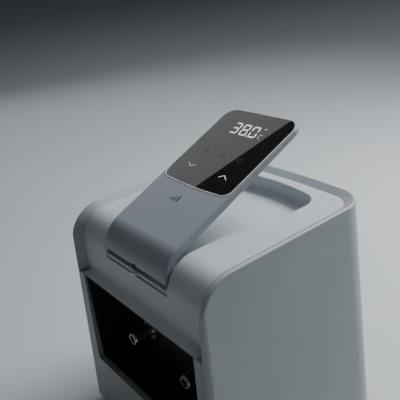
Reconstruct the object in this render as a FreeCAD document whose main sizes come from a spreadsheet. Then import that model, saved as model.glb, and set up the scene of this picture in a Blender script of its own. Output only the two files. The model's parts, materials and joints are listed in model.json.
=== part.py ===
import FreeCAD, Part
import os, math
import Sketcher

# Bench-top circulator that stands beside its vessel: a tapered rounded box with a
# raised rim, a recessed top cover that rolls over the front edge, and a long bent
# display arm hinged at the front.  +Z is up, the front is -Y, the origin is the
# centre of the footprint on the table.  All lengths are millimetres.

V = FreeCAD.Vector
Rot = FreeCAD.Rotation
Pl = FreeCAD.Placement
X, Y, Z = V(1, 0, 0), V(0, 1, 0), V(0, 0, 1)

doc = FreeCAD.newDocument("circulator")
sheet = doc.addObject("Spreadsheet::Sheet", "sizes")

TABLE = [
    ("body_width", 180.0, "width over the rim"),
    ("body_depth", 177.0, "depth over the rim, at the centre line"),
    ("rim_height", 210.0, "height of the rim plane above the table"),
    ("draft_side", 0.042, "outward draft of the sides per unit of drop"),
    ("draft_front", 0.039, "outward draft of front and back"),
    ("back_bow", 5.9, "bow of the back wall"),
    ("corner_back", 28.0, "plan radius of the rear corners"),
    ("corner_front", 4.5, "plan radius of the front corners"),
    ("front_roll", 31.0, "radius where the rim rolls over to the front"),
    ("wall_thick", 3.0, "housing wall"),
    ("crest_round", 1.8, "rounding of the rim's outer edge"),
    ("lip_inner", 81.5, "half width between the feet of the rims"),
    ("lip_drop", 3.8, "depth of the top cover below the rim"),
    ("lip_drop_front", 7.5, "depth of the cover behind the front of the rims"),
    ("cover_roll", 25.0, "radius of the cover where it rolls over"),
    ("cover_thick", 2.5, "wall of the top cover"),
    ("ledge_drop", 57.5, "lower end of the cover, at the top of the front opening"),
    ("seam_gap", 0.3, "gap between neighbouring casings"),
    ("housing_bottom", 9.3, "lower edge of the housing"),
    ("base_low", 6.0, "underside of the base plate"),
    ("base_thick", 3.0, "base plate"),
    ("foot_radius", 10.0, "rubber foot"),
    ("foot_inset_x", 74.0, "foot centre from the middle"),
    ("foot_inset_y", 70.0, "foot centre from the middle"),
    ("arm_tilt", 23.36, "display above the horizontal"),
    ("arm_length", 143.5, "straight part of the arm"),
    ("arm_half_tip", 43.5, "half width at the tip"),
    ("arm_half_root", 41.6, "half width at the root"),
    ("arm_tip_thick", 6.0, "thickness at the tip"),
    ("arm_root_thick", 8.6, "thickness at the root"),
    ("arm_bend", 23.4, "outer radius of the bend"),
    ("arm_face", 81.0, "front face of the arm's foot from the middle"),
    ("arm_foot_drop", 22.0, "end of the arm's foot below the rim"),
    ("arm_wall", 2.2, "wall of the arm's shell"),
    ("arm_corner", 14.0, "corner radius of the tip in plan"),
    ("glass_thick", 1.1, "display glass"),
    ("glass_length", 89.8, "display glass along the arm"),
    ("hinge_back", 70.0, "hinge axis from the middle"),
    ("hinge_drop", 19.0, "hinge axis below the rim"),
    ("shaft_radius", 2.0, "hinge shaft"),
    ("run_fit", 0.05, "radial clearance of a running fit"),
    ("pocket_half", 42.8, "half width of the pocket round the arm"),
    ("pocket_flare", 55.0, "half width of the finger scoop"),
    ("scoop_round", 6.0, "rounding at the floor of the scoop"),
    ("scoop_edge", 1.8, "rounding of the scoop's upper edge"),
    ("pocket_back", 70.0, "rear wall of the scoop from the middle"),
    ("port_half", 78.5, "half width of the front opening"),
    ("port_top", 57.15, "top of the front opening below the rim"),
    ("port_low", 148.0, "bottom of the front opening below the rim"),
    ("port_frame", 0.0, "sloping frame inside the opening"),
    ("port_x", 38.0, "hose ports from the middle"),
    ("port_z", 95.0, "hose ports above the table"),
    ("spigot_radius", 6.0, "outside of a hose spigot"),
    ("spigot_bore", 4.0, "bore of a hose spigot"),
    ("spigot_length", 20.0, "free length of a hose spigot"),
    ("hose_radius", 8.2, "outside of the inner hose"),
    ("pump_radius", 30.0, "pump housing"),
    ("impeller_radius", 21.0, "impeller"),
    ("pump_shaft", 3.0, "pump shaft radius"),
    ("motor_radius", 23.0, "pump motor can"),
    ("heater_radius", 17.0, "heater tube"),
    ("heater_wall", 1.5, "heater tube wall"),
    ("heater_length", 78.0, "heater tube"),
    ("board_thick", 1.6, "printed circuit boards"),
    ("fan_size", 60.0, "cooling fan frame"),
    ("fan_depth", 15.0, "cooling fan frame"),
    ("fan_x", 35.0, "fan centre to the left of the middle"),
    ("fan_z", 146.0, "fan centre above the table"),
    ("inlet_z", 45.0, "mains inlet and switch above the table"),
    ("rocker_pin", 1.2, "pivot pins of the mains rocker"),
    ("rocker_pivot", 86.4, "rocker pivot behind the middle"),
    ("nub_width", 4.0, "release button"),
    ("nub_height", 2.4, "release button"),
    ("nub_drop", 28.9, "release button below the rim"),
]
for i, (alias, value, note) in enumerate(TABLE, 1):
    sheet.set("A%d" % i, alias)
    sheet.set("B%d" % i, repr(value))
    sheet.setAlias("B%d" % i, alias)
    sheet.set("C%d" % i, note)
doc.recompute()


def S(alias):
    return float(sheet.get(alias))


def d(alias, k=1.0, c=0.0):
    """a size tied to a cell: k * cell + c"""
    return (alias, k, c)


def num(q):
    return q[1] * S(q[0]) + q[2] if isinstance(q, tuple) else float(q)


def tie(obj, prop, q):
    if isinstance(q, tuple):
        obj.setExpression(prop, "sizes.%s * %r + %r" % (q[0], q[1], q[2]))
    else:
        setattr(obj, prop, q)


HT = S("rim_height")
NODES = []


def node(obj, label):
    obj.Label = label
    NODES.append((label, obj))
    return obj


# ---------------------------------------------------------------- PartDesign
def new_body(label):
    b = doc.addObject("PartDesign::Body", "B_" + label)
    node(b, label)
    return b


def origin_plane(body, role):
    for f in body.Origin.OriginFeatures:
        if f.Role == role:
            return f


def new_sketch(body, role, off=None):
    sk = body.newObject("Sketcher::SketchObject", "sk")
    sk.AttachmentSupport = [(origin_plane(body, role), "")]
    sk.MapMode = "FlatFace"
    if off is not None:
        sk.AttachmentOffset = off
    return sk


def poly(sk, pts):
    """closed polyline; every vertex is dimensioned from the sketch origin"""
    n0 = sk.GeometryCount
    n = len(pts)
    P = [V(num(a), num(b), 0) for a, b in pts]
    for i in range(n):
        sk.addGeometry(Part.LineSegment(P[i], P[(i + 1) % n]), False)
    for i in range(n):
        sk.addConstraint(Sketcher.Constraint("Coincident", n0 + i, 2, n0 + (i + 1) % n, 1))
    for i, (a, b) in enumerate(pts):
        for kind, q, axis in (("DistanceX", a, -2), ("DistanceY", b, -1)):
            v = num(q)
            if abs(v) < 1e-9:
                sk.addConstraint(Sketcher.Constraint("PointOnObject", n0 + i, 1, axis))
            else:
                c = sk.addConstraint(Sketcher.Constraint(kind, -1, 1, n0 + i, 1, v))
                if isinstance(q, tuple):
                    nm = "%s%d" % ("px" if kind[-1] == "X" else "py", n0 + i)
                    sk.renameConstraint(c, nm)
                    sk.setExpression("Constraints." + nm, "sizes.%s * %r + %r" % (q[0], q[1], q[2]))


def circle(sk, cx, cy, r):
    g = sk.addGeometry(Part.Circle(V(num(cx), num(cy), 0), Z, num(r)), False)
    c = sk.addConstraint(Sketcher.Constraint("Radius", g, num(r)))
    if isinstance(r, tuple):
        sk.renameConstraint(c, "rad%d" % g)
        sk.setExpression("Constraints.rad%d" % g, "sizes.%s * %r + %r" % (r[0], r[1], r[2]))
    for kind, q, axis in (("DistanceX", cx, -2), ("DistanceY", cy, -1)):
        v = num(q)
        if abs(v) < 1e-9:
            sk.addConstraint(Sketcher.Constraint("PointOnObject", g, 3, axis))
        else:
            k = sk.addConstraint(Sketcher.Constraint(kind, -1, 1, g, 3, v))
            if isinstance(q, tuple):
                nm = "c%s%d" % (kind[-1].lower(), g)
                sk.renameConstraint(k, nm)
                sk.setExpression("Constraints." + nm, "sizes.%s * %r + %r" % (q[0], q[1], q[2]))


def rect(sk, cx, cy, hw, hh):
    """rectangle about (cx, cy) with half sizes"""
    def s(c, h, sign):
        if isinstance(h, tuple):
            return (h[0], sign * h[1], num(c) + sign * h[2])
        return num(c) + sign * h
    poly(sk, [(s(cx, hw, -1), s(cy, hh, -1)), (s(cx, hw, 1), s(cy, hh, -1)),
              (s(cx, hw, 1), s(cy, hh, 1)), (s(cx, hw, -1), s(cy, hh, 1))])


def pad(body, sk, length, reverse=False):
    doc.recompute()
    f = body.newObject("PartDesign::Pad", "Pad")
    f.Profile = sk
    tie(f, "Length", length)
    f.Reversed = reverse
    body.Tip = f
    doc.recompute()
    return f


def pocket(body, sk, length=None, reverse=False):
    doc.recompute()
    v0 = body.Shape.Volume
    f = body.newObject("PartDesign::Pocket", "Pocket")
    f.Profile = sk
    if length is None:
        f.Type = 1
    else:
        tie(f, "Length", length)
    for way in (reverse, not reverse):
        f.Reversed = way
        doc.recompute()
        if not f.Shape.isNull() and f.Shape.Volume < v0 - 1e-3:
            body.Tip = f
            doc.recompute()
            return f
    raise RuntimeError("pocket cuts nothing in " + body.Label)


def turn(body, sk):
    f = body.newObject("PartDesign::Revolution", "Turn")
    f.Profile = sk
    f.ReferenceAxis = (sk, ["V_Axis"])
    f.Angle = 360.0
    body.Tip = f
    doc.recompute()
    return f


def turned(label, pts, place):
    """solid of revolution about local Z from (radius, height) points"""
    b = new_body(label)
    sk = new_sketch(b, "XZ_Plane")
    poly(sk, pts)
    turn(b, sk)
    b.Placement = place
    return b


def soften(body, radius, pick):
    """fillet the chosen edges of a body's tip"""
    names = ["Edge%d" % (i + 1) for i, e in enumerate(body.Shape.Edges) if pick(e)]
    if not names:
        return None
    base = body.Tip
    f = body.newObject("PartDesign::Fillet", "Fillet")
    f.Base = (base, names)
    tie(f, "Radius", radius)
    doc.recompute()
    body.Tip = f
    doc.recompute()
    return f


def along_y(x, y, z):
    """local Z points to +Y"""
    return Pl(V(x, y, z), Rot(X, -90))


def along_x(x, y, z):
    """local Z points to +X"""
    return Pl(V(x, y, z), Rot(Y, 90))


def upright(e):
    return (e.BoundBox.XLength < 1e-6 and e.BoundBox.YLength < 1e-6 and e.BoundBox.ZLength > 0.5)


# ---------------------------------------------------------------- Part primitives
def box(x, y, z, lx, ly, lz, place=None):
    o = doc.addObject("Part::Box", "box")
    tie(o, "Length", lx)
    tie(o, "Width", ly)
    tie(o, "Height", lz)
    o.Placement = (place or Pl()).multiply(Pl(V(x, y, z), Rot()))
    return o


def cyl(base, r, h, direction=Z, place=None):
    o = doc.addObject("Part::Cylinder", "cyl")
    tie(o, "Radius", r)
    tie(o, "Height", h)
    o.Placement = (place or Pl()).multiply(Pl(base, Rot(Z, direction)))
    return o


def fuse(objs):
    o = doc.addObject("Part::MultiFuse", "fuse")
    o.Shapes = objs
    return o


def cut(a, b):
    o = doc.addObject("Part::Cut", "cut")
    o.Base = a
    o.Tool = b
    return o


def group(objs):
    o = doc.addObject("Part::Compound", "set")
    o.Links = objs
    return o


def feature(label, shape, place=None):
    o = doc.addObject("Part::Feature", "F_" + label)
    if shape.ShapeType == "Compound" and len(shape.Solids) == 1:
        shape = shape.Solids[0]
    o.Shape = shape
    o.Placement = place or Pl()
    node(o, label)
    return o


# ---------------------------------------------------------------- free shapes
def path(start, segs, conv):
    edges, p = [], start
    for s in segs:
        if len(s) == 1:
            q = s[0]
            edges.append(Part.LineSegment(conv(p), conv(q)).toShape())
        elif s[0] == "spline":
            pts = [conv(p)] + [conv(t) for t in s[1]]
            c = Part.BSplineCurve()
            c.interpolate(Points=pts, InitialTangent=conv(s[2]) - conv((0, 0)), FinalTangent=conv(s[3]) - conv((0, 0)))
            edges.append(c.toShape())
            q = s[1][-1]
        else:
            m, q = s
            edges.append(Part.Arc(conv(p), conv(m), conv(q)).toShape())
        p = q
    return Part.Wire(edges)


def slab_yz(start, segs, x0, x1):
    f = Part.Face(path(start, segs, lambda p: V(x0, p[0], p[1])))
    return f.extrude(V(x1 - x0, 0, 0))


def slab_xy(start, segs, z0, z1):
    f = Part.Face(path(start, segs, lambda p: V(p[0], p[1], z0)))
    return f.extrude(V(0, 0, z1 - z0))


def block(zr_low, zr_high, inset, back_r, front_r):
    """the housing's volume between two levels below the rim plane, moved in by inset"""
    def level(zr):
        hx = S("body_width") / 2 - S("draft_side") * zr - inset
        yf = -S("body_depth") / 2 + S("draft_front") * zr + inset
        z = HT + zr
        return [V(-hx, yf, z), V(hx, yf, z), V(hx, 120, z), V(-hx, 120, z)]
    a, b = level(zr_low), level(zr_high)
    quads = [a[::-1], b] + [[a[i], a[(i + 1) % 4], b[(i + 1) % 4], b[i]] for i in range(4)]
    s = Part.makeSolid(Part.makeShell([Part.Face(Part.makePolygon(q + [q[0]])) for q in quads]))
    bow = S("back_bow")
    rb = ((S("body_width") / 2) ** 2 + bow ** 2) / (2 * bow)
    by = S("body_depth") / 2 - inset - rb
    cone = Part.makeCone(rb - S("draft_front") * zr_low, rb - S("draft_front") * zr_high, zr_high - zr_low, V(0, by, HT + zr_low), Z)
    s = s.common(cone).Solids[0]
    tall = 0.9 * (zr_high - zr_low)
    s = s.makeFillet(back_r, [e for e in s.Edges if e.BoundBox.ZLength > tall and e.BoundBox.YMin > 0])
    return s.makeFillet(front_r, [e for e in s.Edges if e.BoundBox.ZLength > tall and e.BoundBox.YMax < -60])


def roll(drop, front, radius):
    """side profile: level at -drop, rolled with the radius into the drafted front.
    front is the y of the front line at the rim plane."""
    k = S("draft_front")
    n = math.hypot(1, k)
    zc = -drop - radius
    yc = front + k * zc + radius * n
    a = math.atan(k)
    t = (yc - radius * math.cos(a), zc + radius * math.sin(a))
    b = (a + math.pi / 2) / 2
    mid = (yc - radius * math.cos(b), zc + radius * math.sin(b))
    return (yc, -drop), mid, t, (lambda zr: front + k * zr)


zlow = S("housing_bottom") - HT
yf0 = -S("body_depth") / 2
yf1 = yf0 + S("lip_drop_front")
top0, mid0, tan0, front0 = roll(0.0, yf0, S("front_roll"))
top1, mid1, tan1, front1 = roll(S("lip_drop"), yf1, S("cover_roll"))
ledge = -S("ledge_drop")


def up(segs):
    """lift rim-relative profile points to the table frame"""
    out = []
    for s in segs:
        if s[0] == "spline":
            out.append(("spline", [(p[0], p[1] + HT) for p in s[1]], s[2], s[3]))
        else:
            out.append(tuple((p[0], p[1] + HT) for p in s))
    return out


def U(p):
    return (p[0], p[1] + HT)


# outer casing volume
outer = block(zlow, 0.0, 0.0, S("corner_back"), S("corner_front"))
corner = slab_yz(U(top0), up([(mid0, tan0), ((-140.0, tan0[1]),), ((-140.0, 20.0),), ((top0[0], 20.0),), (top0,)]), -140, 140)
outer = outer.cut(corner)
crest = [e for e in outer.Edges if (e.BoundBox.ZMin > HT - 0.01 and not (e.BoundBox.XLength > 150 and e.BoundBox.YLength < 0.01))
         or (e.BoundBox.ZMin > HT - 33 and e.BoundBox.ZMax > HT - 0.01 and e.BoundBox.ZLength > 3)]
outer = outer.makeFillet(S("crest_round"), crest)

# the recess between the rims
xin, xout = S("lip_inner"), S("body_width") / 2 - S("crest_round")


def recess_wire(x, top, mid, tan, front):
    return path(U((40.0, 20.0)), up([((40.0, top[1]),), (top,), (mid, tan), ((front(ledge), ledge),),
                                     ((-140.0, ledge),), ((-140.0, 20.0),), ((40.0, 20.0),)]),
                lambda p: V(x, p[0], p[1]))


w0 = (top0, mid0, tan0, front0)
w1 = (top1, mid1, tan1, front1)
recess = Part.makeLoft([recess_wire(-xout, *w0), recess_wire(-xin, *w1),
                        recess_wire(xin, *w1), recess_wire(xout, *w0)], True, True)


def top_outline(inset, back_r, z):
    """outline open to the front, following the rear of the housing"""
    hx = S("body_width") / 2 - inset
    yb = S("body_depth") / 2 - inset
    bow = S("back_bow")
    rb = ((S("body_width") / 2) ** 2 + bow ** 2) / (2 * bow)
    by = yb - rb
    cy = by + math.sqrt((rb - back_r) ** 2 - (hx - back_r) ** 2)
    c = V(hx - back_r, cy, 0)
    u = (c - V(0, by, 0)).normalize()
    tp = V(0, by, 0) + u * rb
    am = math.atan2(u.y, u.x) / 2
    m = V(c.x + back_r * math.cos(am), c.y + back_r * math.sin(am), 0)
    return hx, cy, m, tp, yb


def outline_wire(inset, back_r, z, y0):
    hx, cy, m, tp, yb = top_outline(inset, back_r, z)
    conv = lambda p: V(p[0], p[1], z)
    return path((-hx, y0), [((hx, y0),), ((hx, cy),), ((m.x, m.y), (tp.x, tp.y)), ((0.0, yb), (-tp.x, tp.y)),
                            ((-m.x, m.y), (-hx, cy)), ((-hx, y0),)], conv)


ins0, ins1 = S("crest_round"), S("body_width") / 2 - S("lip_inner")
cb = S("corner_back")
rear_recess = Part.makeLoft([outline_wire(ins1, cb - ins1, HT - S("lip_drop"), 30.0),
                             outline_wire(ins0, cb - ins0, HT, 30.0)], True, True)
rear_recess2 = Part.Face(outline_wire(ins0, cb - ins0, HT, 30.0)).extrude(V(0, 0, 20))
recess = recess.fuse([rear_recess, rear_recess2])

inner = block(zlow - 5, -S("lip_drop") - S("wall_thick"), S("wall_thick"), cb - 3, 2.0)
ti, mi, tni, fi = roll(S("lip_drop") + S("wall_thick"), yf1 + S("wall_thick"), S("cover_roll") - S("wall_thick"))
inner = inner.cut(slab_yz(U(ti), up([(mi, tni), ((-140.0, tni[1]),), ((-140.0, 20.0),), ((ti[0], 20.0),), (ti,)]), -140, 140))
# the casing stays solid behind the sloping inner faces of the rims
inner = inner.cut([Part.makeBox(22.0, 63.0, 80.0, V(x0, -140.0, HT + ledge - 3.0)) for x0 in (78.0, -100.0)])
hole_top = Part.Face(outline_wire(ins1, cb - ins1, HT - 12, -140.0)).extrude(V(0, 0, 20))
hole_front = Part.makeBox(2 * xin, 60, S("ledge_drop") + 0.1, V(-xin, -130, HT + ledge - 0.1))
seam_x = 86.4
hole_low = Part.makeBox(2 * seam_x, 60, 400, V(-seam_x, -135, HT + ledge - 400))
fan_hole = Part.makeCylinder(27.5, 60, V(-S("fan_x"), 60, S("fan_z")), Y)
rear_hole = Part.makeBox(108, 60, 34, V(-54, 60, S("inlet_z") - 17))
housing = outer.cut(recess).cut(inner).cut([hole_top, hole_front, hole_low, fan_hole, rear_hole])
# four screw posts carry the base plate, and two ribs hold the front panel
posts = []
for sx in (-1, 1):
    for sy in (-1, 1):
        posts.append(Part.makeCylinder(5.0, 40, V(sx * S("foot_inset_x"), sy * S("foot_inset_y"), S("housing_bottom"))).cut(
            Part.makeCylinder(1.6, 30, V(sx * S("foot_inset_x"), sy * S("foot_inset_y"), S("housing_bottom")))))
        posts.append(Part.makeBox(18, 3, 40, V(sx * S("foot_inset_x") + (3.5 if sx > 0 else -21.5), sy * S("foot_inset_y") - 1.5, S("housing_bottom"))).common(outer))
housing = housing.fuse([p.common(outer) for p in posts]).removeSplitter()
feature("main_housing", housing)

# ---------------------------------------------------------------- top cover
ct = S("cover_thick")
gap = S("seam_gap")
end = ledge + 0.3
A_reg = slab_yz(U((110.0, -S("lip_drop"))), up([(top1,), (mid1, tan1), ((front1(end), end),), ((110.0, end),), ((110.0, -S("lip_drop")),)]), -100, 100)
tb, mb, tnb, fb = roll(S("lip_drop") + ct, yf1 + ct, S("cover_roll") - ct)
B_reg = slab_yz(U((120.0, -S("lip_drop") - ct)), up([(tb,), (mb, tnb), ((fb(-60), -60.0),), ((120.0, -60.0),), ((120.0, -S("lip_drop") - ct),)]), -110, 110)
plan_cover = Part.Face(outline_wire(ins1 + gap, cb - ins1 - gap, HT - 60, -140.0)).extrude(V(0, 0, 80))


def visor(reach):
    """the cover's lower end swells out to the front of the rims, over the opening; the swell dies out at the corners"""
    wires = []
    hw = S("lip_inner") - 0.4
    for x, h in ((-hw, 1.2), (-hw + 7, 6.0), (-50.0, 11.0), (0.0, 13.0), (50.0, 11.0), (hw - 7, 6.0), (hw, 1.2)):
        ya, yb = front1(end + h), front0(end) + 0.25
        pole = [(ya, end + h), (ya - 0.04 * h, end + 0.45 * h), (ya + 0.55 * (yb - ya), end + 0.22 * h), (yb, end)]
        swell = Part.BezierCurve()
        swell.setPoles([V(x, q[0], q[1] + HT) for q in pole])
        a, b = V(x, ya, end + h + HT), V(x, yb, end + HT)
        c, e = V(x, front1(end) + reach, end + HT), V(x, front1(end + h) + reach, end + h + HT)
        wires.append(Part.Wire([swell.toShape(), Part.makeLine(b, c), Part.makeLine(c, e), Part.makeLine(e, a)]))
    return Part.makeLoft(wires, True, False)


def pocket_plan(grow):
    a, b, yb = S("pocket_half") + grow, S("pocket_flare") + grow, S("pocket_back") + grow
    s = [(-a, -140.0), [((a, -140.0),), ((a, -26.0),),
         ("spline", [(a + 5.5, -12.0), (b - 1.2, 2.0), (b, 16.0)], (0, 1), (0, 1)),
         ((b, 50.0),), ((b - 3.6, 59.5), (b - 12.0, yb - 4.6)), ((0.0, yb), (-b + 12.0, yb - 4.6)),
         ((-b + 3.6, 59.5), (-b, 50.0)), ((-b, 16.0),),
         ("spline", [(-b + 1.2, 2.0), (-a - 5.5, -12.0), (-a, -26.0)], (0, -1), (0, -1)), ((-a, -140.0),)]]
    return slab_xy(s[0], s[1], HT - 60, HT + 30)


def pocket_floor(drop):
    f = -26.5 - drop
    pts = [(-48.0, -22.0 - drop), (-32.0, -17.6 - drop), (-8.0, -16.2 - drop), (24.0, -16.6 - drop), (48.0, -17.4 - drop), (80.0, -18.2 - drop)]
    return slab_yz(U((-140.0, f)), up([((-62.0, f),), ("spline", pts, (1, 0), (1, 0)), ((80.0, 40.0),), ((-140.0, 40.0),), ((-140.0, f),)]), -100, 100)


pk = pocket_plan(0.0).common(pocket_floor(0.0))
pk = pk.makeFillet(S("scoop_round"), [e for e in pk.Edges if e.BoundBox.ZMax < HT - 10 and e.BoundBox.YMax > -40])
pk2 = pocket_plan(ct).common(pocket_floor(ct))
cover = A_reg.cut(B_reg).fuse(pk2.common(A_reg)).common(plan_cover).cut(pk)
cover = cover.removeSplitter()
brim = [e for e in cover.Edges if abs(e.BoundBox.ZMin - (HT - S("lip_drop"))) < 0.02 and abs(e.BoundBox.ZMax - (HT - S("lip_drop"))) < 0.02
        and e.BoundBox.YMin > -27 and e.BoundBox.XMax < 60 and e.BoundBox.XMin > -60 and e.BoundBox.YMax < 72]
cover = cover.makeFillet(S("scoop_edge"), brim)
# a shallow step under the arm's foot, where the release nub sits
cover = cover.cut(Part.makeBox(2 * S("pocket_half"), 30, 5.0, V(-S("pocket_half"), front1(-28.0) - 29.0, HT - 30.6)))
cover = cover.fuse(visor(1.2))
# square corners at the mouth of the arm's channel, for the foot's corners as it tilts
cover = cover.cut(Part.makeBox(83.8, 18, 6.0, V(-41.9, -90, HT - 26.5)))
hy, hz = -S("hinge_back"), HT - S("hinge_drop")
cover = cover.cut(Part.makeCylinder(S("shaft_radius") + 0.35, 140, V(-48, hy, hz), X).common(Part.makeBox(96, 40, 40, V(-48, -90, hz - 20))))
nubz = HT - S("nub_drop")
cover = cover.cut(Part.makeBox(17.2, 14.0, 10.0, V(-8.6, -79.6, HT - 36.0)))
cover = cover.cut(Part.makeBox(S("nub_width") + 0.6, 30, S("nub_height") + 0.6, V(-S("nub_width") / 2 - 0.3, -90, nubz - S("nub_height") / 2 - 0.3)))
feature("top_cover", cover.removeSplitter())

# ---------------------------------------------------------------- front panel
pt = S("wall_thick")
ptop = ledge - gap
k = S("draft_front")
panel = slab_yz(U((front0(ptop), ptop)), up([((front0(zlow), zlow),), ((front0(zlow) + pt, zlow),), ((front0(ptop) + pt, ptop - 2.5),),
                                             ((-78.0, ptop - 2.5),), ((-78.0, ptop),), ((front0(ptop), ptop),)]), -seam_x + gap, seam_x - gap)
pa, ptp, plo, pfr = S("port_half"), S("port_top"), S("port_low"), S("port_frame")


def window(hx, z1, z0, r, y0, y1):
    b = Part.makeBox(2 * hx, y1 - y0, z1 - z0, V(-hx, y0, z0))
    return b.makeFillet(r, [e for e in b.Edges if e.BoundBox.YLength > 1 and e.BoundBox.XLength < 0.1 and e.BoundBox.ZLength < 0.1])


back_frame = slab_yz(U((front0(-ptp - 1.2) + 1.0, -ptp - 1.2)), up([((front0(-plo - 4) + 1.0, -plo - 4),), ((-84.6, -plo - 4),),
                                                                   ((-84.6, -ptp - 1.2),), ((front0(-ptp - 1.2) + 1.0, -ptp - 1.2),)]), -pa - 4, pa + 4)
panel = panel.fuse(back_frame)
# the opening is closed above by the cover's lower end, so the panel is open at its top
panel = panel.cut(window(pa, HT - ptp + 30.0, HT - plo, 2.6, -130, -40))
screw_x, screw_z = pa + 4.0, HT - 70.0
feature("front_panel", panel.removeSplitter())

# black tray behind the opening, with the two hose ports on its floor
tray_y0, tray_y1 = -89.4, -52.0
tx, tz1, tz0 = pa - pfr, HT - ptp - pfr, HT - plo + pfr
tray = new_body("port_tray")
sk = new_sketch(tray, "XY_Plane")
rect(sk, 0, 0, d("port_half", 1, -0.35), (tz1 - tz0) / 2 - 0.35)
pad(tray, sk, tray_y1 - tray_y0)
soften(tray, 2.25, upright)
sk = new_sketch(tray, "XY_Plane")
rect(sk, 0, 0, d("port_half", 1, -2.75), (tz1 - tz0) / 2 - 2.75)
pocket(tray, sk, tray_y1 - tray_y0 - 2.5, True)
sk = new_sketch(tray, "XY_Plane")
for sx in (-1, 1):
    circle(sk, d("port_x", sx), -(S("port_z") - (tz0 + tz1) / 2), d("spigot_radius", 1, 0.3))
pocket(tray, sk, None, True)
tray.Placement = Pl(V(0, tray_y0, (tz0 + tz1) / 2), Rot(X, -90))
# ---------------------------------------------------------------- ports
for nm, sx in (("inlet_port", -1), ("outlet_port", 1)):
    turned(nm, [(d("spigot_bore"), 0), (d("spigot_radius", 1, -0.8), 0), (d("spigot_radius"), 1.6),
                (d("spigot_radius"), d("spigot_length", 1, -1)), (9.5, d("spigot_length", 1, -1)),
                (9.5, d("spigot_length", 1, 1)), (d("spigot_radius"), d("spigot_length", 1, 1)),
                (d("spigot_radius"), d("spigot_length", 1, 12)), (d("spigot_bore"), d("spigot_length", 1, 12))],
           along_y(sx * S("port_x"), tray_y1 - 2.5 - 21.0 - 1.0, S("port_z")))
seals = []
for sx in (-1, 1):
    seals.append(cut(cyl(V(sx * S("port_x"), tray_y1 - 3.4, S("port_z")), 9.0, 0.8, Y),
                     cyl(V(sx * S("port_x"), tray_y1 - 4.4, S("port_z")), d("spigot_radius", 1, 0.05), 3.0, Y)))
node(group(seals), "port_seals")
nuts = []
for sx in (-1, 1):
    pr = doc.addObject("Part::Prism", "nut")
    pr.Polygon = 6
    pr.Circumradius = 10.5
    pr.Height = 4.5
    pr.Placement = along_y(sx * S("port_x"), tray_y1 + 0.05, S("port_z"))
    nuts.append(cut(pr, cyl(V(sx * S("port_x"), tray_y1 - 1, S("port_z")), d("spigot_radius", 1, 0.05), 8.0, Y)))
node(group(nuts), "port_nuts")

# ---------------------------------------------------------------- pump
px, pz = -S("port_x"), S("port_z")
py = -35.0      # front of the pump housing
turned("pump_cover", [(d("spigot_bore"), -5.5), (d("spigot_radius"), -5.5), (d("spigot_radius"), 0), (d("pump_radius"), 0),
                      (d("pump_radius"), 3), (d("spigot_bore"), 3)], along_y(px, py - 3, pz))
turned("pump_gasket", [(25.5, 0), (d("pump_radius", 1, -0.5), 0), (d("pump_radius", 1, -0.5), 0.8), (25.5, 0.8)], along_y(px, py + 0.05, pz))
ph = turned("pump_housing", [(d("pump_shaft", 1, 0.05), 20.0), (d("pump_shaft", 1, 0.05), 26.0), (d("pump_radius"), 26.0), (d("pump_radius"), 0.0),
                             (25.0, 0.0), (25.0, 20.0)], along_y(px, py + 0.9, pz))
node(cut(cut(fuse([cyl(V(px + 18.5, py + 11.0, pz + 18.0), d("spigot_radius"), 25.0, Z), cyl(V(px + 18.5, py + 11.0, pz + 18.0), 8.5, 12.0, Z)]),
             cyl(V(px, py - 10, pz), d("pump_radius", 1, 0.03), 60, Y)),
         cyl(V(px + 18.5, py + 11.0, pz + 10.0), d("spigot_bore"), 40.0, Z)), "pump_outlet")
# the wheel: hub, disc and six curved vanes
blades = []
for i in range(6):
    a = i * 60.0
    w = path((5.0, -1.0), [((12.0, 1.5), (19.5, 9.0)), ((18.6, 10.3),), ((11.2, 3.2), (5.0, 1.0)), ((5.0, -1.0),)], lambda p: V(p[0], p[1], 2.0))
    b = Part.Face(w).extrude(V(0, 0, 9))
    b.rotate(V(), Z, a)
    blades.append(b)
imp = Part.makeCylinder(S("impeller_radius"), 2.2).fuse(Part.makeCylinder(7.0, 12)).fuse(blades)
imp = imp.common(Part.makeCylinder(S("impeller_radius"), 20)).cut(Part.makeCylinder(S("pump_shaft"), 40, V(0, 0, -5))).removeSplitter()
feature("impeller", imp, Pl(V(px, py + 0.9 + 17.0, pz), Rot(X, 90)))     # vanes face the inlet at -Y
turned("rotor_shaft", [(0, 0), (d("pump_shaft"), 0), (d("pump_shaft"), 66.0), (0, 66.0)], along_y(px, py + 6.0, pz))
turned("motor_rotor", [(d("pump_shaft"), 0), (14.0, 0), (14.0, 30.0), (d("pump_shaft"), 30.0)], along_y(px, py + 33.0, pz))
turned("motor_can", [(d("motor_radius"), 0), (d("motor_radius"), 40.0), (6.5, 40.0), (6.5, 38.0), (d("motor_radius", 1, -1.2), 38.0), (d("motor_radius", 1, -1.2), 0)],
       along_y(px, py + 27.2, pz))
st = new_body("motor_stator")
sk = new_sketch(st, "XY_Plane")
circle(sk, 0, 0, d("motor_radius", 1, -1.4))
circle(sk, 0, 0, 14.5)
pad(st, sk, 30.0)
st.Placement = along_y(px, py + 33.0, pz)
turned("rear_bearing", [(d("pump_shaft", 1, 0.05), 0), (6.3, 0), (6.3, 4.0), (d("pump_shaft", 1, 0.05), 4.0)], along_y(px, py + 64.4, pz))
# saddle under the pump
stand = cut(box(px - 26, py + 4.0, S("base_low") + S("base_thick") + 0.05, 52, 18.0, d("port_z", 1, -17.05)),
            cyl(V(px, py - 5, pz), d("pump_radius", 1, 0.05), 60, Y))
node(stand, "pump_saddle")

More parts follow.
